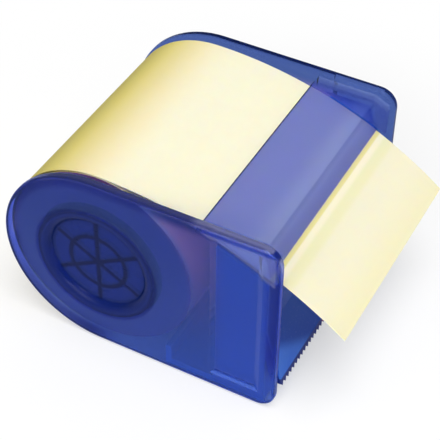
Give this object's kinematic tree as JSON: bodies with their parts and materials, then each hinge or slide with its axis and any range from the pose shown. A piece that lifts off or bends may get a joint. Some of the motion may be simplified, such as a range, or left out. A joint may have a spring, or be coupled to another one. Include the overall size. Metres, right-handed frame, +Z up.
{
  "type": "sticky note roll dispenser",
  "caption": "Desk dispenser for a roll of note paper: D-shaped translucent side plates, hub plugs, top guide, hollow front chute with a toothed cutter, and a curled paper strip.",
  "frame": {"origin": "on the table, in the middle of the part's length and width", "axes": "+X forward, the way the paper leaves; +Y from the left side plate to the right one; +Z up"},
  "size_m": [0.0922, 0.068, 0.0534],
  "materials": {
    "blue_plastic": "translucent deep blue moulded styrene, smooth with a soft sheen",
    "hub_plastic": "translucent deep blue moulded styrene, smooth with a soft sheen",
    "guide_plastic": "translucent lavender blue moulded styrene, smooth",
    "cutter_plastic": "darker blue moulded plastic with a toothed edge",
    "core_board": "spirally wound dark grey board",
    "note_paper": "pale yellow note paper, matt"
  },
  "bodies": {
    "frame": {"left_side": "blue_plastic", "right_side": "blue_plastic", "top_guide": "guide_plastic", "front_chute": "blue_plastic", "cutter": "cutter_plastic"},
    "roll": {"roll_core": "core_board", "paper_roll": "note_paper"},
    "strip": {"paper_strip": "note_paper"},
    "hub_left": {"left_hub": "hub_plastic"},
    "hub_right": {"right_hub": "hub_plastic"}
  },
  "joints": [
    {"name": "roll_spin", "type": "hinge", "parent": "frame", "child": "roll", "pos_m": [-0.01936, 0, 0.0267], "axis": [0, 1, 0], "range_deg": [0, 75]},
    {"name": "paper_feed", "type": "hinge", "parent": "frame", "child": "strip", "pos_m": [-0.01936, 0, -0.0534], "axis": [0, 1, 0], "range_deg": [0, 18]},
    {"name": "left_hub_pull", "type": "slide", "parent": "frame", "child": "hub_left", "axis": [0, -1, 0], "range_m": [0, 0.03]},
    {"name": "right_hub_pull", "type": "slide", "parent": "frame", "child": "hub_right", "axis": [0, 1, 0], "range_m": [0, 0.03]}
  ],
  "couplings": [
    {"joint": "paper_feed", "follows": "roll_spin", "ratio": 0.24}
  ]
}
